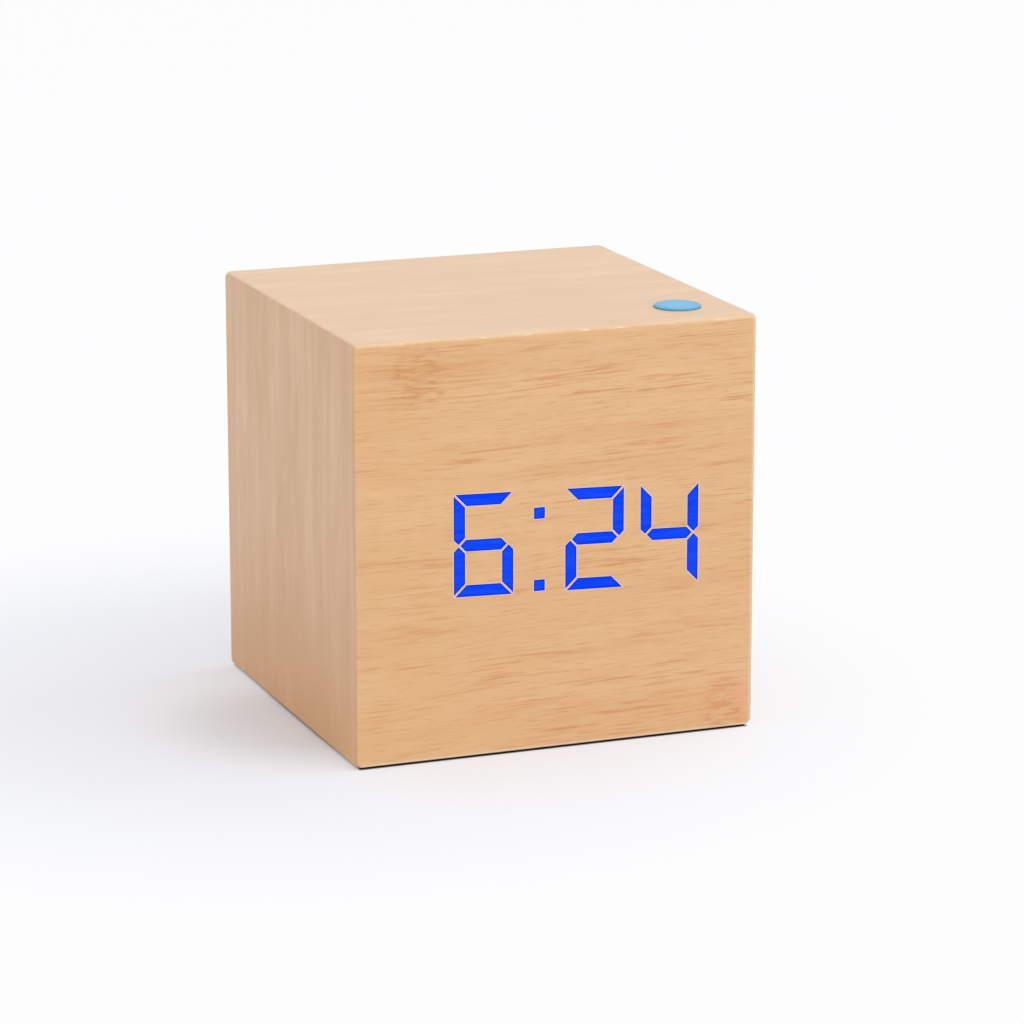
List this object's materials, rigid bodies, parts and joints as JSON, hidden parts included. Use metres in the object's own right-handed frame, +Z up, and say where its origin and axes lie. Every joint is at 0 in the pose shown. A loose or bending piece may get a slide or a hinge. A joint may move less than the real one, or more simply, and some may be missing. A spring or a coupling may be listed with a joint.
{
  "type": "led cube alarm clock",
  "caption": "Wood-look cube alarm clock: light-through seven-segment display, round button on top, recessed rear controls with power inlet, and a hinged battery door in the base.",
  "frame": {"origin": "on the ground, under the middle of the case", "axes": "+Z up, front faces -Y, +X to the right as seen from the front"},
  "size_m": [0.068, 0.0654, 0.0688],
  "materials": {
    "wood_film": "satin wood-grain film",
    "wood_panel": "satin wood-grain finish",
    "bare_board": "raw fibreboard",
    "lit_segment": "lit film",
    "diffuser": "frosted",
    "white_abs": "moulded",
    "circuit_board": "solder mask",
    "led_chip": "resin",
    "zinc_screw": "zinc plated",
    "blue_button": "satin",
    "black_abs": "fine texture",
    "button_black": "satin",
    "plunger_black": "moulded",
    "switch_shell": "stamped",
    "socket_pin": "bright",
    "chip_resin": "resin",
    "crystal_can": "bright",
    "capacitor_sleeve": "sleeve",
    "foot_rubber": "matt",
    "cell_jacket": "foil jacket",
    "nickel_contact": "nickel plated",
    "ribbon_pvc": "pvc",
    "red_pvc": "pvc",
    "black_pvc": "pvc"
  },
  "bodies": {
    "case": {"front_film": "wood_film", "top_panel": "wood_panel", "left_panel": "wood_panel", "right_panel": "wood_panel", "rear_panel": "wood_panel", "front_panel": "bare_board", "side_blocks": "bare_board", "lit_hours": "lit_segment", "lit_colon": "lit_segment", "lit_tens": "lit_segment", "lit_units": "lit_segment", "diffuser_sheet": "diffuser", "segment_mask": "white_abs", "top_switch_spacers": "white_abs", "led_board": "circuit_board", "top_switch_board": "circuit_board", "main_board": "circuit_board", "segment_leds": "led_chip", "led_board_screws": "zinc_screw", "top_switch_screws": "zinc_screw", "control_plate_screws": "zinc_screw", "main_board_screws": "zinc_screw", "base_screws": "zinc_screw", "control_plate": "black_abs", "base_plate": "black_abs", "dc_socket": "black_abs", "top_switch": "switch_shell", "set_switch": "switch_shell", "up_switch": "switch_shell", "down_switch": "switch_shell", "dc_socket_pin": "socket_pin", "microcontroller": "chip_resin", "buzzer": "chip_resin", "crystal": "crystal_can", "capacitors": "capacitor_sleeve", "foot_front_left": "foot_rubber", "foot_front_right": "foot_rubber", "foot_rear_left": "foot_rubber", "foot_rear_right": "foot_rubber", "battery_1": "cell_jacket", "battery_2": "cell_jacket", "battery_3": "cell_jacket", "contact_positive": "nickel_contact", "contact_negative": "nickel_contact", "contact_bridge_front": "nickel_contact", "contact_bridge_rear": "nickel_contact", "battery_springs": "nickel_contact", "led_ribbon": "ribbon_pvc", "top_switch_leads": "ribbon_pvc", "battery_lead_red": "red_pvc", "battery_lead_black": "black_pvc"},
    "top_button": {"top_button": "blue_button", "top_switch_plunger": "plunger_black"},
    "set_button": {"set_button": "button_black", "set_plunger": "plunger_black"},
    "up_button": {"up_button": "button_black", "up_plunger": "plunger_black"},
    "down_button": {"down_button": "button_black", "down_plunger": "plunger_black"},
    "battery_door": {"battery_door": "black_abs"}
  },
  "joints": [
    {"name": "top_button_press", "type": "slide", "parent": "case", "child": "top_button", "axis": [0, 0, -1], "range_m": [0, 0.0003], "stiffness_N_per_m": 2500},
    {"name": "set_button_press", "type": "slide", "parent": "case", "child": "set_button", "axis": [0, -1, 0], "range_m": [0, 0.0003], "stiffness_N_per_m": 2500},
    {"name": "up_button_press", "type": "slide", "parent": "case", "child": "up_button", "axis": [0, -1, 0], "range_m": [0, 0.0003], "stiffness_N_per_m": 2500},
    {"name": "down_button_press", "type": "slide", "parent": "case", "child": "down_button", "axis": [0, -1, 0], "range_m": [0, 0.0003], "stiffness_N_per_m": 2500},
    {"name": "battery_door_hinge", "type": "hinge", "parent": "case", "child": "battery_door", "pos_m": [0, -0.0242, 0.00135], "axis": [-1, 0, 0], "range_deg": [0, 85]}
  ]
}
